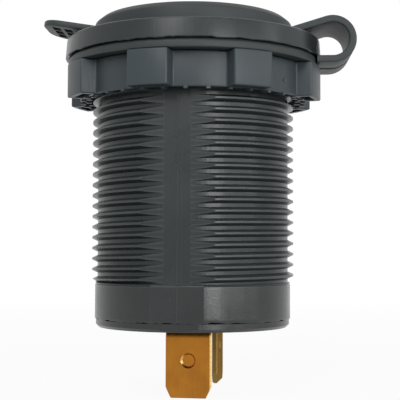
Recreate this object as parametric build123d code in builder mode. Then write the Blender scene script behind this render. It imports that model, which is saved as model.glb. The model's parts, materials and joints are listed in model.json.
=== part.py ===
from build123d import *
import os
from math import cos, radians, sin

# Panel-mounted 12 V power socket with a dust cap on a strap.
# The origin is on the barrel's axis at the panel seat, which is the underside of the strap ring.
# +Z points out of the socket's mouth, and the barrel's two flats face +Y and -Y.
# Lengths are in millimetres and angles in degrees.

# How closely a rim's radius has to agree when it is picked
radius_match = 0.01

# Plug bore and the metal sleeve that lines it
bore_radius = 10.5
sleeve_wall = 0.6
sleeve_clearance = 0.05
sleeve_floor_hole = 6.0
sleeve_neck_step = 0.8
sleeve_neck_length = 3.2

# Moulded body: mouth, flange, barrel
mouth_clearance = 0.3
mouth_depth = 4.9
mouth_lead_in = 0.35
flange_overhang = 3.9
flange_thickness = 2.57
flange_draft = 0.2
flange_bevel = 0.25
barrel_wall = 2.17
plain_step = 0.33
plain_length = 4.9
flat_bite = 0.12

# Outside thread, solid at its crests: its fine grooves, 0.78 deep at a pitch of 1.5, aren't cut here
thread_depth = 0.78
thread_length = 28.5
thread_neck = 1.5

# Strap ring, soft moulding that lies between the flange and the panel
ring_thickness = 1.27
ring_clearance = 0.2
ring_inset = 0.4

# Dust cap
cap_turn = 6.0
cap_gap = 0.05
crown_radius = 13.9
crown_height = 3.05
crown_bevel_width = 0.9
crown_bevel_height = 0.72
crown_top_wall = 1.6
skirt_clearance = 0.45
skirt_depth = 4.3
skirt_wall = 1.4
skirt_tip_draft = 0.3
bead_height = 0.25
bead_drop = 0.95

# Pull tab on the cap's side, tilted up for a finger, grooved below
tab_reach = 7.3
tab_root_width = 11.0
tab_tip_width = 9.0
tab_tip_round = 3.2
tab_thickness = 0.85
tab_tilt = 10.0
tab_rise = 0.85
tab_bury = 2.2
groove_count = 3
groove_pitch = 1.7
groove_width = 1.15
groove_depth = 0.4
groove_end_wall = 1.2
groove_tip_margin = 2.0

# Strap loop
strap_width = 10.4
strap_thickness = 1.0
strap_loop_radius = 2.77
strap_loop_offset = 1.73
strap_lift = 0.26
strap_arm_tilt = 17.0
strap_bury = 2.0
strap_join_gap = 0.02

# Panel nut
nut_gap = 0.05
nut_clearance = 0.25
nut_wall = 1.55
nut_height = 4.65
nut_turn = 34.5
lobe_count = 8
lobe_height = 2.1
lobe_width = 5.5
lobe_edge_round = 0.5
nut_lead_in = 0.3
pocket_wall = 0.8
pocket_floor = 1.25

# Rear cover
cover_rim = 1.1
cover_inset = 0.15
cover_bevel = 0.4
cover_clearance = 0.1
spigot_height = 3.6
boss_clearance = 0.5
boss_rise = 1.0

# Centre contact, a stud riveted through the cover
contact_head_radius = 4.2
contact_head_height = 0.8
contact_rise = 0.45
contact_face_radius = 2.4
contact_shank_radius = 1.5
contact_tail_radius = 2.0
rivet_clearance = 0.05
tail_height = 0.35

# Brass blades
blade_width = 6.3
blade_thickness = 0.8
bend_radius = 1.0
tip_chamfer_width = 0.75
tip_chamfer_length = 1.55
tip_bevel = 0.2
side_bevel = 0.18
dimple_radius = 1.05
dimple_floor_radius = 0.8
dimple_depth = 0.25
dimple_from_tip = 5.1
positive_reach = 3.4
positive_drop = 9.6
positive_tongue_radius = 2.3
negative_drop = 8.4
negative_blade_offset = 2.75
negative_foot_margin = 2.0
negative_rivet_x = 5.5
negative_rivet_y = 6.0
negative_shank_radius = 1.1
negative_head_radius = 1.5
negative_head_height = 0.5

# Radii that follow from the bore outwards
sleeve_outer = bore_radius + sleeve_wall
neck_inner = bore_radius - sleeve_neck_step
seat_radius = sleeve_outer + sleeve_clearance
mouth_radius = bore_radius + mouth_clearance
root_radius = seat_radius + barrel_wall
crest_radius = root_radius + thread_depth
plain_radius = root_radius + plain_step
flat_distance = root_radius - flat_bite
flange_radius = crest_radius + flange_overhang
ring_inner = crest_radius + ring_clearance
ring_outer = flange_radius - ring_inset
cover_radius = plain_radius - cover_inset
boss_radius = sleeve_floor_hole - boss_clearance
nut_bore = crest_radius + nut_clearance
nut_valley_radius = nut_bore + nut_wall
lobe_radius = nut_valley_radius + lobe_height
pocket_outer = lobe_radius - pocket_wall

# Heights that follow from the panel seat
flange_bottom = ring_thickness
flange_top = flange_bottom + flange_thickness
sleeve_top = flange_top - mouth_depth
thread_top = -thread_neck
thread_bottom = thread_top - thread_length
barrel_end = thread_bottom - plain_length
cover_bottom = barrel_end - cover_rim
sleeve_bottom = barrel_end + spigot_height
floor_top = sleeve_bottom + sleeve_wall
sleeve_neck_top = floor_top + sleeve_neck_length
boss_top = floor_top + boss_rise
foot_bottom = cover_bottom - blade_thickness
foot_middle = cover_bottom - blade_thickness / 2
positive_tip = cover_bottom - positive_drop
negative_tip = cover_bottom - negative_drop
nut_top = -nut_gap
nut_bottom = nut_top - nut_height
cap_seat = flange_top + cap_gap
crown_top = flange_top + crown_height
skirt_outer = mouth_radius - skirt_clearance
skirt_bottom = cap_seat - skirt_depth
through_length = 2 * (crown_top - positive_tip)

# The negative blade's place
negative_blade_x = negative_rivet_x - negative_blade_offset

# Directions of the cap's own frame: from the axis to the strap, and along the hinge
strap_out = Vector(cos(radians(cap_turn)), sin(radians(cap_turn)), 0)
hinge_side = Vector(-sin(radians(cap_turn)), cos(radians(cap_turn)), 0)
up = Vector(0, 0, 1)

# Loop centre, measured along strap_out and up; the cap swings about the loop's outer end
loop_centre_out = ring_outer + strap_loop_offset
loop_centre_up = strap_lift + strap_thickness / 2 + strap_loop_radius

os.makedirs("parts", exist_ok=True)


def rims(part, radius):
    """Circular edges of a part that have a given radius."""
    circles = part.edges().filter_by(GeomType.CIRCLE)
    return circles.filter_by(lambda edge: abs(edge.radius - radius) < radius_match)


def cut_flats(top, bottom):
    """Cuts the two flats, facing +Y and -Y, in the current part between two heights."""
    depth = flange_radius - flat_distance
    middle = flat_distance + depth / 2
    for side in (1, -1):
        with Locations((0, side * middle, (top + bottom) / 2)):
            Box(2 * flange_radius, depth, top - bottom, mode=Mode.SUBTRACT)


# Socket body: one revolved moulding, with the flats cut through thread and plain end
with BuildPart() as socket_body:
    with BuildSketch(Plane.XZ):
        with BuildLine():
            Polyline(
                (mouth_radius, flange_top),
                (flange_radius - flange_draft, flange_top),
                (flange_radius, flange_bottom),
                (crest_radius, flange_bottom),
                (crest_radius, thread_bottom),
                (plain_radius, thread_bottom),
                (plain_radius, barrel_end),
                (seat_radius, barrel_end),
                (seat_radius, sleeve_top),
                (mouth_radius, sleeve_top),
                close=True,
            )
        make_face()
    revolve(axis=Axis.Z)
    circles = socket_body.edges().filter_by(GeomType.CIRCLE)
    face_circles = circles.group_by(Axis.Z)[-1].sort_by(SortBy.RADIUS)
    chamfer(face_circles[-1], flange_bevel)
    chamfer(face_circles[0], mouth_lead_in)
    cut_flats(thread_top, barrel_end)
socket_body.part.label = "socket_body"
export_step(socket_body.part, "parts/socket_body.step")

# Contact sleeve: cup with a holed floor, whose bore tapers in at its foot, beside the centre contact
with BuildPart() as contact_sleeve:
    with BuildSketch(Plane.XZ):
        with BuildLine():
            Polyline(
                (sleeve_outer, sleeve_top),
                (sleeve_outer, sleeve_bottom),
                (sleeve_floor_hole, sleeve_bottom),
                (sleeve_floor_hole, floor_top),
                (neck_inner, floor_top),
                (bore_radius, sleeve_neck_top),
                (bore_radius, sleeve_top),
                close=True,
            )
        make_face()
    revolve(axis=Axis.Z)
    with Locations((negative_rivet_x, negative_rivet_y, sleeve_bottom)):
        Cylinder(negative_shank_radius + rivet_clearance, through_length, mode=Mode.SUBTRACT)
contact_sleeve.part.label = "contact_sleeve"
export_step(contact_sleeve.part, "parts/contact_sleeve.step")

# Rear cover: rim under the barrel's end, spigot up to the sleeve's floor, boss through the floor's hole
with BuildPart() as rear_cover:
    with BuildSketch(Plane.XZ):
        with BuildLine():
            Polyline(
                (0, cover_bottom),
                (cover_radius, cover_bottom),
                (cover_radius, barrel_end),
                (seat_radius - cover_clearance, barrel_end),
                (seat_radius - cover_clearance, sleeve_bottom),
                (boss_radius, sleeve_bottom),
                (boss_radius, boss_top),
                (0, boss_top),
                close=True,
            )
        make_face()
    revolve(axis=Axis.Z)
    chamfer(rear_cover.faces().sort_by(Axis.Z)[0].edges(), cover_bevel)
    cut_flats(barrel_end, cover_bottom)
    Cylinder(contact_shank_radius + rivet_clearance, through_length, mode=Mode.SUBTRACT)
    with Locations((negative_rivet_x, negative_rivet_y, 0)):
        Cylinder(negative_shank_radius + rivet_clearance, through_length, mode=Mode.SUBTRACT)
rear_cover.part.label = "rear_cover"
export_step(rear_cover.part, "parts/rear_cover.step")

# Centre contact: raised head on the boss, shank through the cover, tail clinched under the positive foot
with BuildPart() as centre_contact:
    head_rim = boss_top + contact_head_height
    with BuildSketch(Plane.XZ):
        with BuildLine():
            Polyline(
                (0, head_rim + contact_rise),
                (0, foot_bottom - tail_height),
                (contact_tail_radius, foot_bottom - tail_height),
                (contact_tail_radius, foot_bottom),
                (contact_shank_radius, foot_bottom),
                (contact_shank_radius, boss_top),
                (contact_head_radius, boss_top),
                (contact_head_radius, head_rim),
                (contact_face_radius, head_rim + contact_rise),
                close=True,
            )
        make_face()
    revolve(axis=Axis.Z)
centre_contact.part.label = "centre_contact"
export_step(centre_contact.part, "parts/centre_contact.step")


def blade_corners(plane, tip):
    """Sketch of the two corners that are cut off a blade's tip.

    The plane lies on the blade's outer face, with its x along the blade's width and its y up.
    """
    with BuildSketch(plane) as corners:
        for side in (1, -1):
            with BuildLine():
                Polyline(
                    (side * blade_width / 2, tip + tip_chamfer_length),
                    (side * blade_width / 2, tip),
                    (side * (blade_width / 2 - tip_chamfer_width), tip),
                    close=True,
                )
            make_face()
    return corners.sketch


def press_dimple(face, tip):
    """Presses the round locking dimple in the current blade, on a plane that lies on its face with y up."""
    with Locations(face.shift_origin(face.from_local_coords((0, tip + dimple_from_tip, 0)))):
        Cone(
            dimple_floor_radius,
            dimple_radius,
            dimple_depth,
            align=(Align.CENTER, Align.CENTER, Align.MAX),
            mode=Mode.SUBTRACT,
        )


def side_edges(part):
    """The four long edges of a part's blade."""
    return part.edges().filter_by(Axis.Z).filter_by(lambda edge: edge.length > dimple_from_tip)


# Positive terminal: blade facing -Y, with a tongue that tapers to the centre contact's tail
with BuildPart() as positive_terminal:
    tongue_start = -positive_reach + bend_radius + blade_thickness
    with BuildSketch(Plane.YZ):
        with BuildLine():
            FilletPolyline(
                (tongue_start, foot_middle),
                (-positive_reach, foot_middle),
                (-positive_reach, positive_tip),
                radius=bend_radius,
            )
        trace(line_width=blade_thickness)
    extrude(amount=blade_width / 2, both=True)
    with BuildSketch(Plane.XY.offset(foot_bottom)):
        Circle(positive_tongue_radius)
        with Locations((0, tongue_start)):
            Rectangle(blade_width, positive_tongue_radius / 2)
        make_hull()
    extrude(amount=blade_thickness)
    Cylinder(contact_shank_radius + rivet_clearance, through_length, mode=Mode.SUBTRACT)
    front_face = Plane((0, -positive_reach - blade_thickness / 2, 0), x_dir=(1, 0, 0), z_dir=(0, -1, 0))
    extrude(blade_corners(front_face, positive_tip), amount=-blade_thickness, mode=Mode.SUBTRACT)
    tip_edges = positive_terminal.faces().sort_by(Axis.Z)[0].edges().filter_by(Axis.X)
    chamfer(tip_edges, tip_bevel)
    chamfer(side_edges(positive_terminal), side_bevel)
    press_dimple(front_face, positive_tip)
positive_terminal.part.label = "positive_terminal"
export_step(positive_terminal.part, "parts/positive_terminal.step")

# Negative terminal: blade facing +X and -X, square to the other, with its foot under the rivet
with BuildPart() as negative_terminal:
    with BuildSketch(Plane.XZ.offset(-negative_rivet_y)):
        with BuildLine():
            FilletPolyline(
                (negative_rivet_x + negative_foot_margin, foot_middle),
                (negative_blade_x, foot_middle),
                (negative_blade_x, negative_tip),
                radius=bend_radius,
            )
        trace(line_width=blade_thickness)
    extrude(amount=blade_width / 2, both=True)
    foot_corners = negative_terminal.edges().filter_by(Axis.Z).group_by(Axis.X)[-1]
    fillet(foot_corners, negative_foot_margin)
    with Locations((negative_rivet_x, negative_rivet_y, foot_bottom)):
        Cylinder(negative_shank_radius + rivet_clearance, through_length, mode=Mode.SUBTRACT)
    outer_x = negative_blade_x + blade_thickness / 2
    outer_face = Plane((outer_x, negative_rivet_y, 0), x_dir=(0, 1, 0), z_dir=(1, 0, 0))
    extrude(blade_corners(outer_face, negative_tip), amount=-blade_thickness, mode=Mode.SUBTRACT)
    tip_edges = negative_terminal.faces().sort_by(Axis.Z)[0].edges().filter_by(Axis.Y)
    chamfer(tip_edges, tip_bevel)
    chamfer(side_edges(negative_terminal), side_bevel)
    press_dimple(outer_face, negative_tip)
negative_terminal.part.label = "negative_terminal"
export_step(negative_terminal.part, "parts/negative_terminal.step")

# Negative rivet: head on the sleeve's floor, tail clinched under the negative foot
with BuildPart() as negative_rivet:
    rivet_plane = Plane((negative_rivet_x, negative_rivet_y, 0), x_dir=(1, 0, 0), z_dir=(0, -1, 0))
    with BuildSketch(rivet_plane):
        with BuildLine():
            Polyline(
                (0, floor_top + negative_head_height),
                (0, foot_bottom - tail_height),
                (negative_head_radius, foot_bottom - tail_height),
                (negative_head_radius, foot_bottom),
                (negative_shank_radius, foot_bottom),
                (negative_shank_radius, floor_top),
                (negative_head_radius, floor_top),
                (negative_head_radius, floor_top + negative_head_height),
                close=True,
            )
        make_face()
    revolve(axis=Axis(rivet_plane.origin, up))
negative_rivet.part.label = "negative_rivet"
export_step(negative_rivet.part, "parts/negative_rivet.step")

# Panel nut: ring with grip lobes, hollow from below, and a lead-in where its bore starts on the thread
with BuildPart() as panel_nut:
    with BuildSketch(Plane.XY.offset(nut_bottom)):
        with PolarLocations(lobe_radius, lobe_count, start_angle=nut_turn):
            Rectangle(2 * lobe_radius, lobe_width)
        Circle(lobe_radius, mode=Mode.INTERSECT)
        Circle(nut_valley_radius)
        Circle(nut_bore, mode=Mode.SUBTRACT)
    extrude(amount=nut_height)
    lobe_corners = panel_nut.edges().filter_by(Axis.Z).filter_by(
        lambda edge: Vector(edge.center().X, edge.center().Y).length > nut_valley_radius + lobe_height / 2
    )
    fillet(lobe_corners, lobe_edge_round)
    chamfer(rims(panel_nut, nut_bore).sort_by(Axis.Z)[-1], nut_lead_in)
    with BuildSketch(Plane.XY.offset(nut_bottom)):
        with PolarLocations((nut_valley_radius + pocket_outer) / 2, lobe_count, start_angle=nut_turn):
            Rectangle(pocket_outer - nut_valley_radius, lobe_width - 2 * pocket_wall)
    extrude(amount=nut_height - pocket_floor, mode=Mode.SUBTRACT)
panel_nut.part.label = "panel_nut"
export_step(panel_nut.part, "parts/panel_nut.step")

# Strap ring: flat ring
with BuildPart() as strap_ring:
    with BuildSketch():
        Circle(ring_outer)
        Circle(ring_inner, mode=Mode.SUBTRACT)
    extrude(amount=ring_thickness)
strap_ring.part.label = "strap_ring"
export_step(strap_ring.part, "parts/strap_ring.step")

# Dust cap: crown and plug skirt revolved, then the tilted pull tab with its grooved underside
with BuildPart() as dust_cap:
    bead_level = cap_seat - bead_drop
    with BuildSketch(Plane.XZ):
        with BuildLine():
            Polyline(
                (0, crown_top),
                (crown_radius - crown_bevel_width, crown_top),
                (crown_radius, crown_top - crown_bevel_height),
                (crown_radius, cap_seat),
                (skirt_outer, cap_seat),
                (skirt_outer + bead_height, bead_level),
                (skirt_outer - skirt_tip_draft, skirt_bottom),
                (skirt_outer - skirt_wall, skirt_bottom),
                (skirt_outer - skirt_wall, crown_top - crown_top_wall),
                (0, crown_top - crown_top_wall),
                close=True,
            )
        make_face()
    revolve(axis=Axis.Z)
    tab_along = strap_out * -cos(radians(tab_tilt)) + up * sin(radians(tab_tilt))
    tab_normal = hinge_side.cross(tab_along)
    tab_wall = strap_out * -crown_radius + up * (cap_seat + tab_rise)
    tab_plane = Plane(tab_wall, x_dir=tab_along, z_dir=tab_normal)
    with BuildSketch(tab_plane) as tab_outline:
        with BuildLine():
            Polyline(
                (-tab_bury, -tab_root_width / 2),
                (tab_reach, -tab_tip_width / 2),
                (tab_reach, tab_tip_width / 2),
                (-tab_bury, tab_root_width / 2),
                close=True,
            )
        make_face()
        fillet(tab_outline.vertices().group_by(Axis.X)[-1], tab_tip_round)
    extrude(amount=tab_thickness)
    groove_middle = tab_reach - groove_tip_margin - (groove_count - 1) * groove_pitch / 2
    with BuildSketch(tab_plane):
        with Locations((groove_middle, 0)):
            with GridLocations(groove_pitch, 0, groove_count, 1):
                Rectangle(groove_width, tab_tip_width - 2 * groove_end_wall)
    extrude(amount=groove_depth, mode=Mode.SUBTRACT)
dust_cap.part.label = "dust_cap"
export_step(dust_cap.part, "parts/dust_cap.step")

# Cap strap: flat band bent in a loop, from the ring's side up and over to the crown's side
with BuildPart() as cap_strap:
    strap_plane = Plane((0, 0, 0), x_dir=strap_out, z_dir=-hinge_side)
    loop_bottom = (loop_centre_out, loop_centre_up - strap_loop_radius)
    with BuildSketch(strap_plane):
        with BuildLine():
            Line((ring_outer - strap_bury, loop_bottom[1]), loop_bottom)
            loop_centre = (loop_centre_out, loop_centre_up)
            loop = CenterArc(loop_centre, strap_loop_radius, -90, 180 + strap_arm_tilt)
            arm_length = ((loop @ 1).X - crown_radius + strap_bury) / cos(radians(strap_arm_tilt))
            PolarLine(loop @ 1, arm_length, direction=loop % 1)
        trace(line_width=strap_thickness)
    extrude(amount=strap_width / 2, both=True)
    with Locations((0, 0, loop_centre_up)):
        Cylinder(
            ring_outer + strap_join_gap,
            2 * loop_centre_up,
            align=(Align.CENTER, Align.CENTER, Align.MAX),
            mode=Mode.SUBTRACT,
        )
        Cylinder(
            crown_radius + strap_join_gap,
            2 * loop_centre_up,
            align=(Align.CENTER, Align.CENTER, Align.MIN),
            mode=Mode.SUBTRACT,
        )
cap_strap.part.label = "cap_strap"
export_step(cap_strap.part, "parts/cap_strap.step")
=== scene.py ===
"""A panel-mount 12 V power socket for a car, dressed for a plain studio picture.

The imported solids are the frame. Each class below makes one sub-assembly in millimetres on that frame, with
the moulded, threaded and stamped detail that the solids leave out, and gives it its finish.
"""
import json
import logging
from collections.abc import Callable, Sequence
from dataclasses import dataclass, field, replace
from enum import Enum
from functools import partial
from math import acos, asin, atan2, ceil, copysign, cos, degrees, floor, pi, radians, sin, tan

import bmesh
import bpy
from bpy.types import Material, Node, NodeSocket, NodeTree, Object
from mathutils import Matrix, Vector, noise


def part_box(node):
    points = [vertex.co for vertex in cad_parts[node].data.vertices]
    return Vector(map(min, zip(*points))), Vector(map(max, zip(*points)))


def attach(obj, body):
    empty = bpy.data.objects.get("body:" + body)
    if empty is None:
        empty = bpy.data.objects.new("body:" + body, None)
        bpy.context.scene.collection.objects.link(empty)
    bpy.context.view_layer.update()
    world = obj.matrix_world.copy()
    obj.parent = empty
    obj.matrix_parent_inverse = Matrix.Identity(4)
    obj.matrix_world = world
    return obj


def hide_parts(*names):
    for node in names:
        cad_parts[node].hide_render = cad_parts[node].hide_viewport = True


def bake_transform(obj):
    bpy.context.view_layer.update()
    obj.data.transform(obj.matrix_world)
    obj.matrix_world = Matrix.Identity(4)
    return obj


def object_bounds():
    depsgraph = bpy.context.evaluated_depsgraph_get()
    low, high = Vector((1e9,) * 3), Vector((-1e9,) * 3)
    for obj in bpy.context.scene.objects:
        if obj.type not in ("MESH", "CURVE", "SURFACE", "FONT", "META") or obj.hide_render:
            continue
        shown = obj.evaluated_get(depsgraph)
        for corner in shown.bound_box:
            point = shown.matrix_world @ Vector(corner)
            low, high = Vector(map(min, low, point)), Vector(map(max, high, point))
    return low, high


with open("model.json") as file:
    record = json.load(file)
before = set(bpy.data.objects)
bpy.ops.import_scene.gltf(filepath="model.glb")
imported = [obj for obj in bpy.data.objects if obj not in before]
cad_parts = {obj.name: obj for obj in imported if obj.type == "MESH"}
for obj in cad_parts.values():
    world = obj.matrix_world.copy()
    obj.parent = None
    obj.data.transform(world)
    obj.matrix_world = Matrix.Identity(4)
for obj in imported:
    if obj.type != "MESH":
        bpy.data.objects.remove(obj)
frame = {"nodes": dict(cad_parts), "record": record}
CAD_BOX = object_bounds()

MM = 0.001
UP = Vector((0, 0, 1))
# Attribute that makes convex edges paler: partly handling marks, partly a painted highlight
EDGE_WEAR_AND_HIGHLIGHT = "edge_wear"
# Edges that turn by more than this stay sharp
SHARP_DEG = 32.0
# Straight pieces of a rounded corner or edge
ROUND_STEPS = 4
# Keeps a division by a sine from failing
TINY = 1e-6
CAP_HINGE = next(joint for joint in frame["record"]["behaviour"]["joints"] if joint["name"] == "cap_hinge")
Pair = tuple[float, float]
Rows = list[list[int]]
Boxes = list[tuple[Matrix, Vector]]
Source = Node | NodeSocket
Values = dict[str | int, object]
Links = dict[str | int, Source]
AddNode = Callable[..., Node]
log = logging.getLogger("power_socket")


class Body(str, Enum):
    """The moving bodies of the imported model."""

    SOCKET = "socket"
    CAP = "cap"
    NUT = "nut"


class Carve(str, Enum):
    """What a tool shape does to the piece it meets."""

    CUT = "DIFFERENCE"
    JOIN = "UNION"


def linear(hex_colour: str) -> tuple[float, ...]:
    """Turn an sRGB colour, six hex digits after a '#', into linear red, green, blue and an alpha of one."""
    values = [int(hex_colour[i:i + 2], 16) / 255 for i in (1, 3, 5)]
    return *(v / 12.92 if v <= 0.04045 else ((v + 0.055) / 1.055) ** 2.4 for v in values), 1.0


def span(source: Pair, target: Pair = (0.0, 1.0)) -> Values:
    """List the values with which a map-range node turns one span of numbers into another."""
    return dict(zip(("From Min", "From Max", "To Min", "To Max"), source + target))


def add_node(
    tree: NodeTree, kind: str, values: Values | None = None, links: Links | None = None, **settings: object
) -> Node:
    """Add one shader node.

    Args:
        tree: The node tree that gets the node.
        kind: Blender's name for the node type.
        values: Fixed values by input socket.
        links: What feeds an input socket: an output socket, or a node for the first output that it uses.
        **settings: The node's own options.

    Returns:
        The new node.
    """
    node = tree.nodes.new(kind)
    for option, value in settings.items():
        setattr(node, option, value)
    for socket, value in (values or {}).items():
        node.inputs[socket].default_value = value
    for socket, source in (links or {}).items():
        if isinstance(source, Node):
            source = next(output for output in source.outputs if output.enabled)
        tree.links.new(source, node.inputs[socket])
    return node


def blank_material(name: str) -> Material:
    """Make a material with an empty node tree.

    Args:
        name: The material's name.

    Returns:
        The material.
    """
    material = bpy.data.materials.new(name)
    material.use_nodes = True
    material.node_tree.nodes.clear()
    return material


@dataclass(frozen=True, kw_only=True)
class Finish:
    """What every finish has: clouds in its colour, an uneven roughness, and fine lines along the axis."""

    name: str
    colour: str
    cloud_colour: str
    cloud_mm: float
    roughness: float
    roughness_spread: float = 0.06
    roughness_band: Pair = (0.3, 0.7)
    line_mm: float
    line_length_mm: float
    line_depth_mm: float
    line_harshness: float

    def material(self) -> Material:
        """Build the material, which each kind of finish does in its own way."""
        raise NotImplementedError

    def shared(self) -> Material:
        """Give the material, which is built when it is first asked for."""
        return bpy.data.materials.get(self.name) or self.material()

    def begin(self) -> tuple[Material, AddNode, tuple[Source, ...]]:
        """Begin the material.

        Returns:
            The material, what adds nodes to it, and the place on the piece, its clouds and its lines.
        """
        material = blank_material(self.name)
        node = partial(add_node, material.node_tree)
        place = node("ShaderNodeTexCoord").outputs["Object"]
        stretch = {"Scale": (1.0, 1.0, self.line_mm / self.line_length_mm)}
        along = node("ShaderNodeMapping", stretch, {"Vector": place})
        broad = {"Scale": 1 / (self.cloud_mm * MM), "Detail": 4.0, "Roughness": 0.6}
        fine = {"Scale": 1 / (self.line_mm * MM), "Detail": 3.0, "Roughness": self.line_harshness}
        clouds = node("ShaderNodeTexNoise", broad, {"Vector": place})
        lines = node("ShaderNodeTexNoise", fine, {"Vector": along})
        return material, node, (place, clouds, lines)

    def end(
        self, node: AddNode, values: Values, colour: Source, pattern: Source,
        relief: Sequence[tuple[Source, float]],
    ) -> None:
        """Bring everything together in the shader.

        Args:
            node: What adds nodes to the material.
            values: The shader's fixed values.
            colour: Its colour.
            pattern: The pattern that its roughness follows.
            relief: Patterns of the relief, and how deep each is in millimetres.
        """
        ends = (self.roughness - self.roughness_spread, self.roughness + self.roughness_spread)
        gloss = node("ShaderNodeMapRange", span(self.roughness_band, ends), {"Value": pattern})
        normal: Links = {}
        for height, depth in relief:
            deep = {"Strength": 1.0, "Distance": depth * MM}
            normal = {"Normal": node("ShaderNodeBump", deep, {"Height": height} | normal)}
        links = {"Base Color": colour, "Roughness": gloss} | normal
        shader = node("ShaderNodeBsdfPrincipled", values, links)
        node("ShaderNodeOutputMaterial", links={"Surface": shader})


@dataclass(frozen=True, kw_only=True)
class MouldedPlastic(Finish):
    """Black thermoplastic as it leaves the mould.

    The skin is satin, not glossy: its fine grain takes part of the sheen. It shows soft pale clouds where
    the melt flowed, faint draw lines along the direction in which the tool opened, specks of dust, and
    greyer convex edges, partly where handling has worn the black off and partly as a painted highlight.
    """

    wear_and_highlight_colour: str
    wear_and_highlight_strength: float
    grain_mm: float
    grain_depth_mm: float
    speck_strength: float
    speck_band: Pair = (0.68, 0.76)
    line_harshness: float = 0.65
    sheen: float = 0.3
    ior: float = 1.53

    def material(self) -> Material:
        """Build the material's nodes.

        Returns:
            The finished material.
        """
        material, node, (place, clouds, lines) = self.begin()
        tint = node("ShaderNodeMix", {6: linear(self.colour), 7: linear(self.cloud_colour)}, {0: clouds},
                    data_type="RGBA")
        grain = node("ShaderNodeTexNoise", {"Scale": 1 / (self.grain_mm * MM), "Detail": 2.0},
                     {"Vector": place})
        limits = span(self.speck_band, (0.0, self.speck_strength))
        specks = node("ShaderNodeMapRange", limits, {"Value": grain})
        # Paler colour on convex edges, split up by the clouds, as handling marks and a painted highlight,
        # and on dust specks
        edge_wear_and_highlight_mask = node("ShaderNodeAttribute", attribute_name=EDGE_WEAR_AND_HIGHLIGHT).outputs["Fac"]
        patchy_wear_and_highlight = node("ShaderNodeMath", links={0: edge_wear_and_highlight_mask, 1: clouds}, operation="MULTIPLY")
        wear_highlight_and_specks = node("ShaderNodeMath", {1: self.wear_and_highlight_strength}, {0: patchy_wear_and_highlight, 2: specks},
                      operation="MULTIPLY_ADD", use_clamp=True)
        shade = node("ShaderNodeMix", {7: linear(self.wear_and_highlight_colour)}, {0: wear_highlight_and_specks, 6: tint},
                     data_type="RGBA")
        self.end(node, {"IOR": self.ior, "Specular IOR Level": self.sheen}, shade, clouds,
                 [(grain, self.grain_depth_mm), (lines, self.line_depth_mm)])
        return material


@dataclass(frozen=True, kw_only=True)
class RolledMetal(Finish):
    """Metal strip with the lines that its rolls or brushes left in it.

    The lines run one way and spread the highlight across them. Handling leaves darker, duller clouds.
    Faces that look towards +X, to the lamps, get a painted highlight where a colour is given for it.
    """

    tarnish_band: Pair = (0.35, 0.7)
    line_harshness: float = 0.6
    grazing_colour: str = "#ffffff"
    right_side_highlight_colour: str | None = None
    # Share of a face's normal towards +X at which the painted highlight starts, and is full
    right_side_highlight_band: Pair = (0.35, 0.6)

    def material(self) -> Material:
        """Build the material's nodes.

        Returns:
            The finished material.
        """
        material, node, (_, clouds, lines) = self.begin()
        patches = node("ShaderNodeMapRange", span(self.tarnish_band), {"Value": clouds})
        tint = node("ShaderNodeMix", {6: linear(self.colour), 7: linear(self.cloud_colour)}, {0: patches},
                    data_type="RGBA")
        # Painted highlight: faces turned towards +X, the lamps' side, get a paler colour
        if self.right_side_highlight_colour:
            facing = node("ShaderNodeNewGeometry").outputs["True Normal"]
            side = node("ShaderNodeSeparateXYZ", links={"Vector": facing})
            cut = node("ShaderNodeMapRange", span(self.right_side_highlight_band), {"Value": side})
            tint = node("ShaderNodeMix", {7: linear(self.right_side_highlight_colour)}, {0: cut, 6: tint}, data_type="RGBA")
        self.end(node, {"Metallic": 1.0, "Specular Tint": linear(self.grazing_colour)}, tint, lines,
                 [(lines, self.line_depth_mm)])
        return material


# Glass-filled nylon of the barrel, moulded: satin black with grey flow clouds, and thread crests made paler
# partly by handling and partly by a painted highlight.
BARREL_NYLON = MouldedPlastic(
    name="glass_filled_nylon_moulded", colour="#202526", cloud_colour="#2a2f30", wear_and_highlight_colour="#5c6263",
    roughness=0.3, cloud_mm=5.0, grain_mm=0.35, grain_depth_mm=0.006, wear_and_highlight_strength=0.5,
    speck_strength=0.25, line_mm=0.4, line_length_mm=6.0, line_depth_mm=0.02,
)

# The same nylon off a polished part of the mould, as on the plain end and the rear cover: deeper black with
# a clear, broad sheen.
SMOOTH_NYLON = replace(
    BARREL_NYLON, name="glass_filled_nylon_polished_mould", colour="#101314", cloud_colour="#181b1c",
    roughness=0.25, sheen=0.5,
)

# Plain nylon of the nut, moulded: paler, bluer and more matt than the barrel, with draw lines on its lobes.
NUT_NYLON = MouldedPlastic(
    name="nylon_moulded", colour="#2d3538", cloud_colour="#384144", wear_and_highlight_colour="#646c6f",
    roughness=0.42, cloud_mm=7.0, grain_mm=0.4, grain_depth_mm=0.005, wear_and_highlight_strength=0.25,
    speck_strength=0.06, line_mm=0.45, line_length_mm=7.0, line_depth_mm=0.022,
)

# Soft PVC of the cap, strap and ring, moulded: more matt than nylon, so its highlights are broad and dim.
CAP_PVC = MouldedPlastic(
    name="soft_pvc_moulded", colour="#272c2d", cloud_colour="#303637", wear_and_highlight_colour="#565b5b",
    roughness=0.5, cloud_mm=6.0, grain_mm=0.4, grain_depth_mm=0.008, wear_and_highlight_strength=0.4,
    speck_strength=0.06, line_mm=0.6, line_length_mm=3.0, line_depth_mm=0.006,
)

# Brass strip, cold rolled and stamped: warm gold with fine lines along the blade, brown tarnish clouds, and
# a pale painted highlight on the faces that look towards +X, to the lamps.
TAB_BRASS = RolledMetal(
    name="brass_rolled_and_stamped", colour="#a96f29", cloud_colour="#986226", right_side_highlight_colour="#dabb74",
    roughness=0.3, cloud_mm=4.0, line_mm=0.16, line_length_mm=9.0, line_depth_mm=0.004,
)

# Brass bar, turned: the same warm gold without the painted highlight.
STUD_BRASS = replace(TAB_BRASS, name="brass_turned", right_side_highlight_colour=None)

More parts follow.
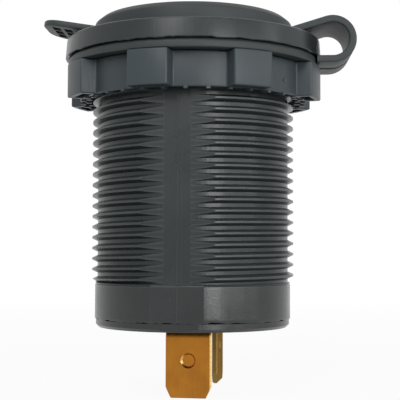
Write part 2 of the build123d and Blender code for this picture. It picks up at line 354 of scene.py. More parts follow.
# The same brass strip, greyer and dull as painted shade, and brown still where it is seen almost edge on.
SHADED_BRASS_COPY = replace(
    TAB_BRASS, name="brass_rolled_with_painted_shade", colour="#937747", cloud_colour="#7d643b", right_side_highlight_colour=None,
    roughness=0.5, grazing_colour="#b9a476",
)

# Steel cup, drawn and nickel plated: bright and cool, with draw lines along the bore.
SLEEVE_NICKEL = RolledMetal(
    name="steel_drawn_and_nickel_plated", colour="#d6d5d2", cloud_colour="#bdbbb7", roughness=0.3,
    roughness_spread=0.05, cloud_mm=6.0, line_mm=0.4, line_length_mm=12.0, line_depth_mm=0.003,
)


@dataclass(frozen=True)
class Corner:
    """One corner of an outline in millimetres, and the radius that it is rounded to."""

    x: float
    y: float
    radius: float = 0.0

    @property
    def point(self) -> Vector:
        """The corner as a plain point."""
        return Vector((self.x, self.y))


def rounded(*corners: Corner, closed: bool = True, steps: int = ROUND_STEPS) -> list[Vector]:
    """Round the corners of an outline or of an open profile.

    Args:
        *corners: The corners in order, with their radii.
        closed: Whether the last corner joins the first.
        steps: How many straight pieces a rounded corner gets.

    Returns:
        The points of the rounded line.
    """
    points: list[Vector] = []
    for i, corner in enumerate(corners):
        here = corner.point
        if corner.radius <= 0 or (not closed and i in (0, len(corners) - 1)):
            points.append(here)
            continue
        back = (corners[i - 1].point - here).normalized()
        ahead = (corners[(i + 1) % len(corners)].point - here).normalized()
        half = back.angle(ahead) / 2
        middle = here + (back + ahead).normalized() * corner.radius / sin(half)
        first = here + back * corner.radius / tan(half) - middle
        last = here + ahead * corner.radius / tan(half) - middle
        for k in range(steps + 1):
            share = k / steps
            points.append(middle + (first * (1 - share) + last * share).normalized() * corner.radius)
    return points


def inset(outline: Sequence[Vector], distance: float) -> list[Vector]:
    """Draw an anticlockwise outline inwards.

    Args:
        outline: The outline's points.
        distance: How far every side moves in, in millimetres.

    Returns:
        The moved points, as many as before.
    """
    least_stretch = 0.5
    moved: list[Vector] = []
    for i, here in enumerate(outline):
        before = (here - outline[i - 1]).normalized()
        after = (outline[(i + 1) % len(outline)] - here).normalized()
        inward = Vector((-before.y - after.y, before.x + after.x)).normalized()
        stretch = max(inward.dot(Vector((-before.y, before.x))), least_stretch)
        moved.append(here + inward * distance / stretch)
    return moved


def edge_levels(low: float, high: float, radius: float) -> list[Pair]:
    """List the heights and insets of a slab whose two edges are rounded.

    Args:
        low: Height of the lower face.
        high: Height of the upper face.
        radius: Edge radius.

    Returns:
        Pairs of height and inset, from the lower face to the upper one.
    """
    turns = [pi / 2 * k / ROUND_STEPS for k in range(ROUND_STEPS + 1)]
    lower = [(low + radius * (1 - sin(t)), radius * (1 - cos(t))) for t in reversed(turns)]
    upper = [(high - radius * (1 - sin(t)), radius * (1 - cos(t))) for t in turns]
    return lower + upper


def polar(radius: float, angle: float, height: float = 0.0) -> Vector:
    """Put a point at a radius, an angle in radians and a height."""
    return Vector((radius * cos(angle), radius * sin(angle), height))


@dataclass
class Skin:
    """Points and faces of one piece while it is being made, in millimetres."""

    points: list[Vector] = field(default_factory=list)
    faces: Rows = field(default_factory=list)

    def row(self, points: Sequence[Vector]) -> list[int]:
        """Add a row of points and give their numbers."""
        self.points += [Vector(p) for p in points]
        return list(range(len(self.points) - len(points), len(self.points)))

    def loft(self, rows: Rows, around: bool = False) -> None:
        """Lay strips of quads between closed rows of equal length.

        Args:
            rows: The rows in order.
            around: Whether the last row joins the first.
        """
        pairs = list(zip(rows, rows[1:])) + ([(rows[-1], rows[0])] if around else [])
        for first, second in pairs:
            for i in range(len(first)):
                j = (i + 1) % len(first)
                self.faces.append([first[i], first[j], second[j], second[i]])

    def revolve(
        self, profile: Sequence[Vector], angles: Sequence[float],
        shape: Callable[[float, float, float], float] | None = None,
    ) -> Rows:
        """Add a row of points round the axis for each radius and height; shape may change the radius."""
        return [self.row([polar(shape(r, z, a) if shape else r, a, z) for a in angles]) for r, z in profile]

    def slab(self, outline: Sequence[Vector], levels: Sequence[Pair]) -> Rows:
        """Stack copies of an anticlockwise outline at pairs of height and inset, and give their rows."""
        return [self.row([p.to_3d() + UP * z for p in inset(outline, d)]) for z, d in levels]

    def close(self, rows: Rows) -> None:
        """Loft the rows and put a lid on each end."""
        self.loft(rows)
        self.faces += [list(rows[0]), list(rows[-1])]

    def make(self, name: str, sharp_deg: float = SHARP_DEG, place: Matrix | None = None) -> Object:
        """Turn the points and faces into an object in metres.

        Args:
            name: The piece's name.
            sharp_deg: Edges that turn by more than this stay sharp.
            place: Where the millimetre points go, if they aren't in the frame already.

        Returns:
            The object, in the scene.
        """
        move = place or Matrix.Identity(4)
        mesh = bpy.data.meshes.new(name)
        mesh.from_pydata([(move @ p) * MM for p in self.points], [], self.faces)
        piece = bpy.data.objects.new(name, mesh)
        bpy.context.scene.collection.objects.link(piece)
        tidy_mesh(piece, sharp_deg)
        return piece


def tidy_mesh(piece: Object, sharp_deg: float) -> None:
    """Merge doubles, turn the faces outwards, mark sharp edges and note the convex edges.

    The finish makes those edges paler: partly as handling marks, partly as a painted highlight.

    Args:
        piece: The piece whose mesh is tidied.
        sharp_deg: Edges that turn by more than this stay sharp.
    """
    merge_m = 2e-7
    full_wear_and_highlight_turn = radians(45)
    mesh = piece.data
    sheet = bmesh.new()
    sheet.from_mesh(mesh)
    bmesh.ops.remove_doubles(sheet, verts=sheet.verts, dist=merge_m)
    bmesh.ops.dissolve_degenerate(sheet, dist=merge_m / 2, edges=sheet.edges)
    bmesh.ops.recalc_face_normals(sheet, faces=sheet.faces)
    # How far each point's edges turn outwards, for the painted edge highlight and the handling marks
    wear_and_highlight = [0.0] * len(sheet.verts)
    sheet.verts.index_update()
    for edge in sheet.edges:
        turn = edge.calc_face_angle_signed(0.0)
        for vert in edge.verts:
            wear_and_highlight[vert.index] = max(wear_and_highlight[vert.index], min(turn / full_wear_and_highlight_turn, 1.0))
    sheet.to_mesh(mesh)
    sheet.free()
    note = mesh.attributes.get(EDGE_WEAR_AND_HIGHLIGHT) or mesh.attributes.new(EDGE_WEAR_AND_HIGHLIGHT, "FLOAT", "POINT")
    note.data.foreach_set("value", wear_and_highlight)
    mesh.polygons.foreach_set("use_smooth", [True] * len(mesh.polygons))
    mesh.set_sharp_from_angle(angle=radians(sharp_deg))


def carve(piece: Object, tool: Object, action: Carve) -> None:
    """Join a tool shape to a piece, or cut it out of the piece, and delete the tool.

    Args:
        piece: The piece to change.
        tool: The shape to join or cut.
        action: What the tool does.
    """
    step = piece.modifiers.new("carve", "BOOLEAN")
    step.operation = action.value
    step.solver = "EXACT"
    step.object = tool
    graph = bpy.context.evaluated_depsgraph_get()
    mesh = bpy.data.meshes.new_from_object(piece.evaluated_get(graph))
    piece.modifiers.clear()
    piece.data = mesh
    bpy.data.objects.remove(tool)
    tidy_mesh(piece, SHARP_DEG)


def box_tool(name: str, boxes: Boxes) -> Object:
    """Make one tool shape of several plain boxes.

    Args:
        name: The tool's name.
        boxes: Each box's place and its full size, in millimetres.

    Returns:
        The tool.
    """
    skin = Skin()
    for place, size in boxes:
        x, y, z = size / 2
        ends = [[(-x, -y, h), (x, -y, h), (x, y, h), (-x, y, h)] for h in (-z, z)]
        skin.close([skin.row([place @ Vector(corner) for corner in end]) for end in ends])
    return skin.make(name)


def paint(piece: Object, finish: Finish) -> None:
    """Give a piece one finish.

    Args:
        piece: The piece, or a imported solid.
        finish: The finish.
    """
    if not piece.material_slots:
        piece.data.materials.append(finish.shared())
    for slot in piece.material_slots:
        slot.material = finish.shared()


def paint_below(piece: Object, finish: Finish, level: float) -> None:
    """Give the faces of a piece that lie below a height a second finish.

    Args:
        piece: The piece, which has its first finish.
        finish: The second finish.
        level: The height in millimetres.
    """
    piece.data.materials.append(finish.shared())
    second = len(piece.data.materials) - 1
    for face in piece.data.polygons:
        if face.center.z < level * MM:
            face.material_index = second


def stand_in(piece: Object, node: str) -> None:
    """Let a finished piece take the place of a solid.

    Args:
        piece: The finished piece.
        node: The solid that it stands for.
    """
    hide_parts(node)
    log.info("%s: %d faces", piece.name, len(piece.data.polygons))


def node_limits(node: str) -> tuple[Vector, Vector]:
    """Read the lowest and highest corners of a solid's box, in millimetres."""
    low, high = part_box(node)
    return Vector(low) / MM, Vector(high) / MM


def even_angles(count: int) -> list[float]:
    """Share a full turn into equal steps, in radians."""
    return [2 * pi * k / count - pi for k in range(count)]


def ragged(angle: float, detail: float) -> float:
    """Give a moulded edge's unevenness at an angle, from none to about one, finer with more detail."""
    return max(0.0, noise.noise(polar(1.0, angle, 0.5) * detail))


# Half of one thread ridge: distance from its crest in pitches, and height from root to crest. The second
# and third places are the flank's foot and top.
THREAD_FORM = ((0.5, 0.0), (0.34, 0.0), (0.105, 0.95), (0.075, 1.0), (0.0, 1.0))


@dataclass
class ThreadedBody:
    """The moulded barrel with its flange, helical thread and two flats."""

    flange_top: float = node_limits("socket_body")[1].z
    flange_bottom: float = node_limits("strap_ring")[1].z
    flange_radius: float = node_limits("socket_body")[1].x
    barrel_end: float = node_limits("socket_body")[0].z
    flat: float = node_limits("rear_cover")[1].y
    sleeve_top: float = node_limits("contact_sleeve")[1].z
    sleeve_gap: float = 0.05
    seat_radius: float = node_limits("contact_sleeve")[1].x + sleeve_gap
    flange_lean: float = 0.2
    flange_round: float = 0.3
    mouth_radius: float = 10.8
    mouth_round: float = 0.4
    root_radius: float = 13.32
    crest_radius: float = 14.1
    plain_radius: float = 13.65
    thread_top: float = -1.5
    thread_bottom: float = -29.85
    run_out: float = 0.5
    pitch: float = 1.46
    thread_phase: float = -5.49
    groove_height: float = 0.3
    groove_depth: float = 0.12
    end_round: float = 0.15
    column_deg: float = 2.0
    fine_column_deg: float = 0.7
    fine_reach_deg: float = 28.0
    seam_half_deg: float = 0.3
    seam_lines: tuple[Pair, ...] = ((0.0, 0.016), (2.4, 0.01))
    flash: float = 0.24
    flash_details: Pair = (9.0, 31.0)
    end_gap: float = 0.3
    seat_match: float = 0.01
    flange_steps: int = 8
    groove_steps: int = 4
    spare_turns: int = 3
    sharp_deg: float = 17.0

    def columns(self) -> list[float]:
        """Choose the columns round the barrel.

        Flats and seams get exact ones, and no other lies within a third of a step of those.

        Returns:
            The angles in radians, in order.
        """
        exact: list[float] = []
        for middle in (-90.0, 90.0):
            for away, _ in self.seam_lines:
                line = middle - copysign(away, middle)
                exact += [line, line - self.seam_half_deg, line + self.seam_half_deg]
            for radius in (self.root_radius, self.plain_radius, self.crest_radius):
                reach = degrees(acos(self.flat / radius))
                exact += [middle - reach, middle + reach]
            fine = int(self.fine_reach_deg / self.fine_column_deg)
            exact_here = list(exact)
            for k in range(-fine, fine + 1):
                angle = middle + (k + 0.5) * self.fine_column_deg
                if min(abs(angle - e) for e in exact_here) > self.fine_column_deg / 3:
                    exact.append(angle)
        coarse = [-180 + self.column_deg * k for k in range(round(360 / self.column_deg))]
        keep = [a for a in coarse if min(abs(a - e) for e in exact) > self.column_deg / 3]
        return [radians(a) for a in sorted(exact + keep)]

    def thread_radius(self, height: float, angle: float) -> float:
        """Give the thread's radius at a point of the barrel.

        Args:
            height: Height of the point.
            angle: Its angle round the axis, in radians.

        Returns:
            The radius of the thread there, before the flats are cut.
        """
        turn = (height - self.thread_phase) / self.pitch - angle / (2 * pi)
        away = abs(turn - round(turn))
        rise = 0.0
        for (a, low), (b, high) in zip(THREAD_FORM, THREAD_FORM[1:]):
            if b <= away <= a:
                rise = low + (high - low) * (a - away) / (a - b)
        room = min(self.thread_top - height, height - self.thread_bottom)
        fade = min(max(room / self.run_out, 0.0), 1.0)
        return self.root_radius + (self.crest_radius - self.root_radius) * rise * fade

    def flat_reach(self, angle: float) -> float:
        """Give the distance from the axis to the flat at an angle in radians."""
        return self.flat / max(abs(sin(angle)), TINY)

    def outside(self, radius: float, height: float, angle: float) -> float:
        """Cut the flats, the mould's parting seam and the groove below the thread.

        Args:
            radius: Radius of the round barrel.
            height: Height of the point.
            angle: Its angle, in radians.

        Returns:
            The radius of the real barrel.
        """
        if height > self.thread_top or radius <= self.seat_radius + self.seat_match:
            return radius
        cut = min(radius, self.flat_reach(angle))
        for away, rise in self.seam_lines:
            if abs(abs(degrees(angle)) - 90 + away) < self.seam_half_deg / 2:
                cut += rise
        middle = self.thread_bottom - self.groove_height / 2
        return cut - self.groove_depth * max(0.0, 1 - (2 * (height - middle) / self.groove_height) ** 2)

    def flank_end(self, angle: float) -> float:
        """Find where the thread's flank comes up through the flat.

        Args:
            angle: Angle of the column, in radians.

        Returns:
            The distance from the crest in pitches, no less than the flank's own upper end.
        """
        (foot, _), (top, top_rise) = THREAD_FORM[1:3]
        rise = (self.flat_reach(angle) - self.root_radius) / (self.crest_radius - self.root_radius)
        return foot - (foot - top) * min(max(rise / top_rise, 0.0), 1.0)

    def fray(self, skin: Skin, rows: Rows, level: float, inner: float, lift: float) -> None:
        """Move an edge up or down unevenly, as flash or a poor joint does.

        Args:
            skin: The piece being made.
            rows: The rows that hold the edge.
            level: The edge's height.
            inner: Points nearer to the axis than this stay.
            lift: How far the edge moves at most, up or down.
        """
        coarse, fine = self.flash_details
        for i in (i for row in rows for i in row):
            point = skin.points[i]
            if abs(point.z - level) < abs(lift) and point.xy.length > inner:
                angle = atan2(point.y, point.x)
                point.z += lift * ragged(angle, coarse) + lift / 2 * ragged(angle, fine)

    def thread_rows(self, skin: Skin, angles: Sequence[float]) -> tuple[list[int], list[int]]:
        """Lay the thread's strips along its helix.

        Args:
            skin: The piece being made.
            angles: The columns.

        Returns:
            The level rows at the thread's top and bottom.
        """
        # A crest's middle isn't needed, and the valley below it is the next turn's upper one
        half_form = [a for a, _ in THREAD_FORM]
        offsets = sorted({*half_form, *(-a for a in half_form)} - {-0.5, 0.0}, reverse=True)
        first_turn = ceil((self.thread_top - self.thread_phase) / self.pitch) + self.spare_turns
        last_turn = floor((self.thread_bottom - self.thread_phase) / self.pitch) - self.spare_turns
        rows: Rows = []
        for turn in range(first_turn, last_turn - 1, -1):
            for offset in offsets:
                ring: list[Vector] = []
                for angle in angles:
                    away = offset
                    if abs(offset) == THREAD_FORM[2][0]:
                        away = copysign(self.flank_end(angle), offset)
                    height = self.thread_phase + self.pitch * (turn + away + angle / (2 * pi))
                    height = min(max(height, self.thread_bottom), self.thread_top)
                    radius = self.outside(self.thread_radius(height, angle), height, angle)
                    ring.append(polar(radius, angle, height))
                rows.append(skin.row(ring))
        step = len(offsets)
        last = len(angles) - 1
        for m in range(len(rows) - 1):
            upper, lower = rows[m], rows[m + 1]
            for j in range(last):
                skin.faces.append([upper[j], upper[j + 1], lower[j + 1], lower[j]])
            after, after_lower = rows[max(m - step, 0)], rows[max(m + 1 - step, 0)]
            skin.faces.append([upper[last], after[0], after_lower[0], lower[last]])
        return rows[0], rows[-1]

    def build(self) -> None:
        """Make the barrel."""
        skin = Skin()
        angles = self.columns()
        top = rounded(
            Corner(self.seat_radius, self.sleeve_top),
            Corner(self.mouth_radius, self.sleeve_top),
            Corner(self.mouth_radius, self.flange_top, self.mouth_round),
            Corner(self.flange_radius - self.flange_lean, self.flange_top, self.flange_round),
            Corner(self.flange_radius, self.flange_bottom, self.flange_round / 2),
            Corner(self.root_radius, self.flange_bottom),
            Corner(self.root_radius, self.thread_top),
            closed=False,
            steps=self.flange_steps,
        )
        low = self.thread_bottom - self.groove_height
        step = self.groove_height / self.groove_steps
        heights = [self.thread_bottom - step * k for k in range(self.groove_steps)]
        groove = [Vector((self.plain_radius, height)) for height in heights]
        plain = rounded(
            Corner(self.plain_radius, low),
            Corner(self.plain_radius, low - self.end_round),
            Corner(self.plain_radius, self.barrel_end + 2 * self.end_gap),
            Corner(self.plain_radius, self.barrel_end, self.end_round),
            Corner(self.seat_radius, self.barrel_end),
            closed=False,
        )
        upper = skin.revolve(top, angles, self.outside)
        thread_top, thread_bottom = self.thread_rows(skin, angles)
        lower = skin.revolve(groove + plain, angles, self.outside)
        skin.loft(upper + [thread_top])
        skin.loft([thread_bottom] + lower + [upper[0]])
        self.fray(skin, upper, self.flange_bottom, self.flange_radius - self.flange_lean, -self.flash)
        self.fray(skin, lower, self.barrel_end, self.seat_radius + self.end_gap, self.end_gap)
        piece = skin.make("threaded_body", sharp_deg=self.sharp_deg)
        paint(piece, BARREL_NYLON)
        paint_below(piece, SMOOTH_NYLON, low)
        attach(piece, Body.SOCKET.value)
        stand_in(piece, "socket_body")


@dataclass
class LobedNut:
    """The ring nut with its grip lobes and the ribs below them."""

    top: float = node_limits("panel_nut")[1].z
    bottom: float = node_limits("panel_nut")[0].z
    lobe_radius: float = 18.0
    bore_radius: float = 14.35
    valley_radius: float = 15.9
    lobe_count: int = 8
    lobe_width: float = 5.5
    turn_deg: float = 34.5
    lobe_round: float = 0.3
    valley_round: float = 0.25
    edge_round: float = 0.2
    lead_in: float = 0.3
    arc_step_deg: float = 3.0
    tip_steps: int = 2
    tip_fill: float = 0.8
    rib_count: int = 34
    rib_width: float = 0.55
    slot_outer: float = 15.5
    slot_overlap: float = 1.0
    slot_depth: float = 1.6
    pocket_inner: float = 15.9
    pocket_outer: float = 17.2
    pocket_width: float = 3.9
    pocket_depth: float = 3.4
    tooth_width: float = 0.5
    tooth_length: float = 0.7
    tooth_drop: float = 0.22
    gate_deg: float = -32.0
    gate_height: float = -3.0
    gate_radius: float = 0.6
    gate_depth: float = 0.1
    gate_columns: int = 24

    def outline(self) -> list[Vector]:
        """Draw the nut from above.

        Returns:
            The anticlockwise outline.
        """
        half = self.lobe_width / 2
        pitch = 360 / self.lobe_count
        tip = degrees(asin(half / self.lobe_radius))
        foot = degrees(asin(half / self.valley_radius))
        gap = pitch - 2 * foot
        count = int(gap / self.arc_step_deg)
        between = [s / self.tip_steps * self.tip_fill for s in range(1 - self.tip_steps, self.tip_steps)]
        spots = [
            (self.valley_radius, -foot, self.valley_round),
            (self.lobe_radius, -tip, self.lobe_round),
            *((self.lobe_radius, tip * share, 0.0) for share in between),
            (self.lobe_radius, tip, self.lobe_round),
            (self.valley_radius, foot, self.valley_round),
            *((self.valley_radius, foot + gap * s / count, 0.0) for s in range(1, count)),
        ]
        corners: list[Corner] = []
        for k in range(self.lobe_count):
            for radius, away, rounding in spots:
                spot = polar(radius, radians(self.turn_deg + pitch * k + away))
                corners.append(Corner(spot.x, spot.y, rounding))
        return rounded(*corners)

    def gate_tool(self) -> Object:
        """Shape the ring that is sunk round the stub where the melt came in.

        Returns:
            The tool.
        """
        turn = Matrix.Rotation(radians(self.gate_deg), 4, "Z")
        out = Matrix.Translation((self.valley_radius, 0, self.gate_height))
        place = turn @ out @ Matrix.Rotation(pi / 2, 4, "Y")
        skin = Skin()
        section = [
            Vector((self.gate_radius, self.gate_depth)),
            Vector((self.gate_radius / 2, -self.gate_depth)),
            Vector((self.gate_radius / 4, -self.gate_depth)),
            Vector((self.gate_radius / 4, self.gate_depth)),
        ]
        skin.loft(skin.revolve(section, even_angles(self.gate_columns)), around=True)
        return skin.make("gate_ring", place=place)

    def boxes_below(
        self, count: int, start_deg: float, inner: float, outer: float, width: float, depth: float
    ) -> Boxes:
        """Set equal boxes round the nut, half in and half out of its underside.

        Args:
            count: How many there are.
            start_deg: Angle of the first.
            inner: Where they start, from the axis.
            outer: Where they end.
            width: Their size along the turn.
            depth: How far they reach into the nut.

        Returns:
            Each box's place and size.
        """
        reach = Matrix.Translation(((inner + outer) / 2, 0, self.bottom))
        size = Vector((outer - inner, width, 2 * depth))
        angles = [radians(start_deg + 360 / count * k) for k in range(count)]
        return [(Matrix.Rotation(angle, 4, "Z") @ reach, size) for angle in angles]

    def build(self) -> None:
        """Make the nut."""
        skin = Skin()
        outline = self.outline()
        wall = skin.slab(outline, edge_levels(self.bottom, self.top, self.edge_round))
        bore = [
            Vector((self.bore_radius + self.lead_in, self.top)),
            Vector((self.bore_radius, self.top - self.lead_in)),
            Vector((self.bore_radius, self.bottom)),
        ]
        skin.loft(wall + skin.revolve(bore, [atan2(p.y, p.x) for p in outline]), around=True)
        piece = skin.make("lobed_nut")
        width = 2 * pi / self.rib_count * self.bore_radius - self.rib_width
        slots = self.boxes_below(self.rib_count, 180 / self.rib_count, self.bore_radius - self.slot_overlap,
                                 self.slot_outer, width, self.slot_depth)
        pockets = self.boxes_below(self.lobe_count, self.turn_deg, self.pocket_inner, self.pocket_outer,
                                   self.pocket_width, self.pocket_depth)
        half = self.tooth_length / 2
        teeth = self.boxes_below(self.rib_count, 0.0, self.slot_outer - half, self.slot_outer + half,
                                 self.tooth_width, self.tooth_drop)
        carve(piece, box_tool("nut_slots", slots), Carve.CUT)
        carve(piece, box_tool("nut_pockets", pockets), Carve.CUT)
        carve(piece, box_tool("nut_teeth", teeth), Carve.JOIN)
        carve(piece, self.gate_tool(), Carve.CUT)
        paint(piece, NUT_NYLON)
        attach(piece, Body.NUT.value)
        stand_in(piece, "panel_nut")


@dataclass
class StrappedCap:
    """The soft moulding: crown with plug skirt and pull tab, strap loop and ring."""

    hinge: Vector = (Vector(CAP_HINGE["pos_m"]) / MM).freeze()
    hinge_side: Vector = Vector(CAP_HINGE["axis"]).freeze()
    crown_top: float = node_limits("dust_cap")[1].z
    ring_top: float = node_limits("strap_ring")[1].z
    crown_seat: float = 3.89
    crown_radius: float = 13.9
    bevel_in: float = 0.9
    bevel_down: float = 0.72
    bevel_round: float = 0.35
    seat_round: float = 0.15
    crown_wall: float = 1.6
    skirt_radius: float = 10.35
    skirt_wall: float = 1.4
    skirt_bottom: float = -0.41
    skirt_tip_radius: float = 10.05
    bead_radius: float = 10.6
    bead_height: float = 2.94
    bead_round: float = 0.2
    skirt_tip_round: float = 0.3
    inside_round: float = 0.5
    tab_reach: float = 7.3
    tab_root_width: float = 11.0
    tab_tip_width: float = 9.0
    tab_tip_round: float = 3.2
    tab_thickness: float = 0.85
    tab_tilt_deg: float = 10.0
    tab_rise: float = 0.85
    tab_bury: float = 2.2
    tab_edge: float = 0.25
    tab_steps: int = 10
    groove_count: int = 3
    groove_pitch: float = 1.7
    groove_width: float = 1.15
    groove_depth: float = 0.55
    groove_tip_margin: float = 2.0
    groove_end_wall: float = 1.2
    pit_count: int = 3
    pit_rib: float = 0.35
    ring_inner: float = 14.3
    ring_outer: float = 17.6
    ring_round: float = 0.2
    ring_top_round: float = 0.5
    strap_width: float = 10.4
    strap_thickness: float = 1.0
    strap_edge: float = 0.25
    loop_radius: float = 2.77
    arm_tilt_deg: float = 17.0
    bury: float = 0.4
    strap_line_width: float = 1.3
    strap_line_depth: float = 0.35
    strap_sharp_deg: float = 35.0
    loop_steps: int = 40
    bend_end: float = 0.9
    columns: int = 192

    @property
    def strap_out(self) -> Vector:
        """The level direction from the axis to the strap."""
        return Vector((self.hinge.x, self.hinge.y, 0)).normalized()

    def build_ring(self) -> None:
        """Make the ring under the flange."""
        skin = Skin()
        section = rounded(
            Corner(self.ring_inner, 0.0, self.ring_round),
            Corner(self.ring_outer, 0.0, self.ring_round),
            Corner(self.ring_outer, self.ring_top, self.ring_top_round),
            Corner(self.ring_inner, self.ring_top, self.ring_round),
        )
        skin.loft(skin.revolve(section, even_angles(self.columns)), around=True)
        piece = skin.make("strap_ring_soft")
        paint(piece, CAP_PVC)
        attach(piece, Body.SOCKET.value)
        stand_in(piece, "strap_ring")

    def tab(self) -> Object:
        """Make the pull tab with the grip grooves below it.

        Returns:
            The tab as a shape to join to the crown.
        """
        tilt = radians(self.tab_tilt_deg)
        along = self.strap_out * -cos(tilt) + UP * sin(tilt)
        normal = self.hinge_side.cross(along).normalized()
        across = normal.cross(along)
        wall = self.strap_out * -self.crown_radius + UP * (self.crown_seat + self.tab_rise)
        place = Matrix((along, across, normal)).transposed().to_4x4()
        place.translation = wall
        root, tip = self.tab_root_width / 2, self.tab_tip_width / 2
        outline = rounded(
            Corner(-self.tab_bury, -root),
            Corner(self.tab_reach, -tip, self.tab_tip_round),
            Corner(self.tab_reach, tip, self.tab_tip_round),
            Corner(-self.tab_bury, root),
            steps=self.tab_steps,
        )
        skin = Skin()
        skin.close(skin.slab(outline, edge_levels(0.0, self.tab_thickness, self.tab_edge)))
        piece = skin.make("pull_tab", place=place)
        step = (self.tab_tip_width - 2 * self.groove_end_wall + self.pit_rib) / self.pit_count
        size = Vector((self.groove_width, step - self.pit_rib, 2 * self.groove_depth))
        boxes: Boxes = []
        for k in range(self.groove_count):
            reach = self.tab_reach - self.groove_tip_margin - self.groove_pitch * k
            for m in range(self.pit_count):
                aside = step * (m - (self.pit_count - 1) / 2)
                boxes.append((place @ Matrix.Translation((reach, aside, 0)), size))
        carve(piece, box_tool("tab_grooves", boxes), Carve.CUT)
        return piece

    def build_crown(self) -> None:
        """Make the crown, its skirt and its tab in one piece."""
        skin = Skin()
        inside = self.skirt_radius - self.skirt_wall
        ceiling = self.crown_top - self.crown_wall
        profile = rounded(
            Corner(0.0, self.crown_top),
            Corner(self.crown_radius - self.bevel_in, self.crown_top, self.bevel_round),
            Corner(self.crown_radius, self.crown_top - self.bevel_down, self.bevel_round),
            Corner(self.crown_radius, self.crown_seat, self.seat_round),
            Corner(self.skirt_radius, self.crown_seat, self.bead_round),
            Corner(self.bead_radius, self.bead_height, self.bead_round),
            Corner(self.skirt_tip_radius, self.skirt_bottom, self.skirt_tip_round),
            Corner(inside, self.skirt_bottom, self.skirt_tip_round),
            Corner(inside, ceiling, self.inside_round),
            Corner(0.0, ceiling),
            closed=False,
        )
        skin.loft(skin.revolve(profile, even_angles(self.columns)))
        piece = skin.make("cap_crown")
        carve(piece, self.tab(), Carve.JOIN)
        paint(piece, CAP_PVC)
        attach(piece, Body.CAP.value)
        stand_in(piece, "dust_cap")

    def strap_line(self) -> list[tuple[Vector, Vector]]:
        """Follow the strap from the ring, round its loop, to the crown.

        Returns:
            For each station its point and its outward normal, as (out, up) pairs.
        """
        out = Vector((self.hinge.x, self.hinge.y)).length - self.loop_radius
        middle = Vector((out, self.hinge.z))
        level = self.hinge.z - self.loop_radius
        reaches = (self.ring_outer - self.bury, (self.ring_outer + out) / 2, out)
        stations = [(Vector((reach, level)), Vector((0.0, -1.0))) for reach in reaches]
        for k in range(1, self.loop_steps + 1):
            turn = radians(-90 + (180 + self.arm_tilt_deg) * k / self.loop_steps)
            normal = Vector((cos(turn), sin(turn)))
            stations.append((middle + normal * self.loop_radius, normal))
        last, normal = stations[-1]
        run = Vector((-normal.y, normal.x))
        length = (last.x - self.crown_radius + self.bury) / -run.x
        return stations + [(last + run * length * share, normal) for share in (0.5, 1.0)]

    def build_strap(self) -> None:
        """Make the strap, which loops between the socket and the cap."""
        half = self.strap_width / 2
        line = self.strap_line_width / 2
        top = self.strap_thickness / 2
        section = rounded(
            Corner(-half, -top, self.strap_edge),
            Corner(half, -top, self.strap_edge),
            Corner(half, top, self.strap_edge),
            Corner(line, top),
            Corner(line / 2, top - self.strap_line_depth),
            Corner(-line / 2, top - self.strap_line_depth),
            Corner(-line, top),
            Corner(-half, top, self.strap_edge),
        )
        skin = Skin()
        rows: Rows = []
        for point, normal in self.strap_line():
            ring: list[Vector] = []
            for p in section:
                flat = point + normal * p.y
                ring.append(self.strap_out * flat.x + UP * flat.y + self.hinge_side * p.x)
            rows.append(skin.row(ring))
        skin.close(rows)
        piece = skin.make("strap_loop", sharp_deg=self.strap_sharp_deg)
        paint(piece, CAP_PVC)
        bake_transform(piece)
        stand_in(piece, "cap_strap")

    def build(self) -> None:
        """Make the three pieces of the moulding."""
        self.build_ring()
        self.build_crown()
        self.build_strap()


@dataclass
class Contacts:
    """The solids that stay as they are packed: metal parts and the rear cover."""

    finishes: tuple[tuple[str, Finish], ...] = (
        ("rear_cover", SMOOTH_NYLON),
        ("positive_terminal", TAB_BRASS),
        ("negative_terminal", SHADED_BRASS_COPY),
        ("negative_rivet", SHADED_BRASS_COPY),
        ("centre_contact", STUD_BRASS),
        ("contact_sleeve", SLEEVE_NICKEL),
    )

    def build(self) -> None:
        """Dress the solids."""
        for node, finish in self.finishes:
            paint(frame["nodes"][node], finish)
            log.info("%s: dressed", node)


@dataclass(frozen=True)
class Lamp:
    """One soft rectangular lamp, aimed at the middle of the socket."""

    name: str
    place: tuple[float, float, float]
    size: Pair
    watts: float

    def light(self, aim: Vector) -> None:
        """Hang the lamp.

        Args:
            aim: The point that it faces, in metres.
        """
        data = bpy.data.lights.new(self.name, "AREA")
        data.shape = "RECTANGLE"
        data.size, data.size_y = (s * MM for s in self.size)
        data.energy = self.watts
        lamp = bpy.data.objects.new(self.name, data)
        lamp.location = Vector(self.place) * MM
        lamp.rotation_euler = (aim - lamp.location).to_track_quat("-Z", "Y").to_euler()
        bpy.context.scene.collection.objects.link(lamp)


def seen_directly(node: AddNode) -> Source:
    """Add a value that is one for rays that show a surface itself, in the lens, in metal or through glass.

    Args:
        node: What adds nodes to the tree that gets it.

    Returns:
        The value.
    """
    path = node("ShaderNodeLightPath").outputs
    shown = path["Is Camera Ray"]
    for ray in ("Is Glossy Ray", "Is Transmission Ray"):
        shown = node("ShaderNodeMath", links={0: shown, 1: path[ray]}, operation="MAXIMUM")
    return shown


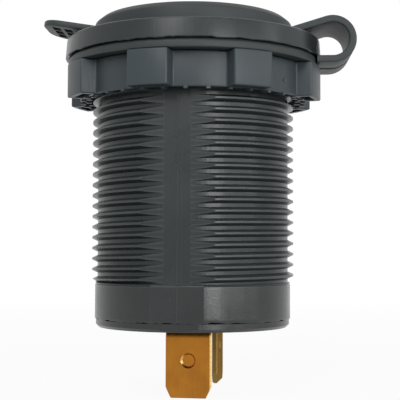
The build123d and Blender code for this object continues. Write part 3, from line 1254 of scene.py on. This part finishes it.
@dataclass
class Studio:
    """White floor, white surroundings, soft lamps and the photograph's viewpoint."""

    floor_gap: float = 0.05
    floor_size: float = 6000.0
    surround_light: float = 0.2
    floor_glow: float = 0.94
    floor_fade: Pair = (60.0, 300.0)
    # The camera's place before it is turned round the object; that turn, and its own yaw, tilt and roll
    view_place: tuple[float, float, float] = (-0.29, -145.0, -25.65)
    view_deg: tuple[float, ...] = (9.0, 0.51, 2.89, -0.16)
    focal_px: float = 1028.0
    picture_px: float = 400.0
    sensor: float = 36.0
    clip_start: float = 10.0
    lamps: tuple[Lamp, ...] = (
        Lamp("key_lamp", (325, -505, 20), (200, 300), 1.7),
        Lamp("side_lamp", (514, -309, 20), (260, 260), 0.55),
        Lamp("edge_lamp", (583, -91, 110), (60, 290), 0.3),
        Lamp("high_lamp", (-88, -450, 360), (220, 260), 1.1),
        Lamp("left_lamp", (-104, -551, 185), (160, 120), 0.36),
    )

    def camera(self) -> None:
        """Stand the camera where the photograph was taken from."""
        turn, yaw, tilt, roll = (radians(a) for a in self.view_deg)
        data = bpy.data.cameras.new("photo_camera")
        data.sensor_width = self.sensor
        data.lens = self.focal_px * self.sensor / self.picture_px
        data.clip_start = self.clip_start * MM
        view = bpy.data.objects.new("photo_camera", data)
        view.matrix_world = (
            Matrix.Rotation(turn, 4, "Z")
            @ Matrix.Translation(Vector(self.view_place) * MM)
            @ Matrix.Rotation(-yaw, 4, "Z")
            @ Matrix.Rotation(pi / 2 + tilt, 4, "X")
            @ Matrix.Rotation(-roll, 4, "Z")
        )
        bpy.context.scene.collection.objects.link(view)
        bpy.context.scene.camera = view

    def surroundings(self) -> None:
        """Light the scene from white surroundings that show as plain white."""
        world = bpy.data.worlds.new("white_surroundings")
        world.use_nodes = True
        world.node_tree.nodes.clear()
        node = partial(add_node, world.node_tree)
        limits = span((0.0, 1.0), (self.surround_light, 1.0))
        strength = node("ShaderNodeMapRange", limits, {"Value": seen_directly(node)})
        light = node("ShaderNodeBackground", {"Color": linear("#ffffff")}, {"Strength": strength})
        node("ShaderNodeOutputWorld", links={"Surface": light})
        bpy.context.scene.world = world

    def floor(self) -> None:
        """Lay a white paper floor, which keeps the shadow by the object and fades to white behind it."""
        half = self.floor_size / 2
        level = CAD_BOX[0][2] / MM - self.floor_gap
        skin = Skin()
        corners = ((-half, -half), (half, -half), (half, half), (-half, half))
        skin.faces.append(skin.row([Vector((x, y, level)) for x, y in corners]))
        sheet = skin.make("paper_floor")
        material = blank_material("matt_white_paper")
        node = partial(add_node, material.node_tree)
        paper = node("ShaderNodeBsdfDiffuse", {"Color": linear("#f4f4f4")})
        glow = node("ShaderNodeEmission", {"Color": linear("#ffffff"), "Strength": 1.0})
        place = node("ShaderNodeTexCoord").outputs["Object"]
        away = node("ShaderNodeVectorMath", links={0: place}, operation="LENGTH")
        near, far = self.floor_fade
        limits = span((near * MM, far * MM), (self.floor_glow, 1.0))
        white = node("ShaderNodeMapRange", limits, {"Value": away})
        share = node("ShaderNodeMath", links={0: seen_directly(node), 1: white}, operation="MULTIPLY")
        mixed = node("ShaderNodeMixShader", links={0: share, 1: paper, 2: glow})
        node("ShaderNodeOutputMaterial", links={"Surface": mixed})
        sheet.data.materials.append(material)

    def build(self) -> None:
        """Set up the whole studio."""
        low, high = (Vector(corner) for corner in CAD_BOX)
        for lamp in self.lamps:
            lamp.light((low + high) / 2)
        self.surroundings()
        self.floor()
        self.camera()
        bpy.context.scene.view_settings.view_transform = "Standard"


def main() -> None:
    """Build and dress every piece, then the studio."""
    logging.basicConfig(level=logging.INFO, format="%(name)s: %(message)s")
    for part in (ThreadedBody(), LobedNut(), StrappedCap(), Contacts(), Studio()):
        part.build()


if __name__ == "__main__":
    main()
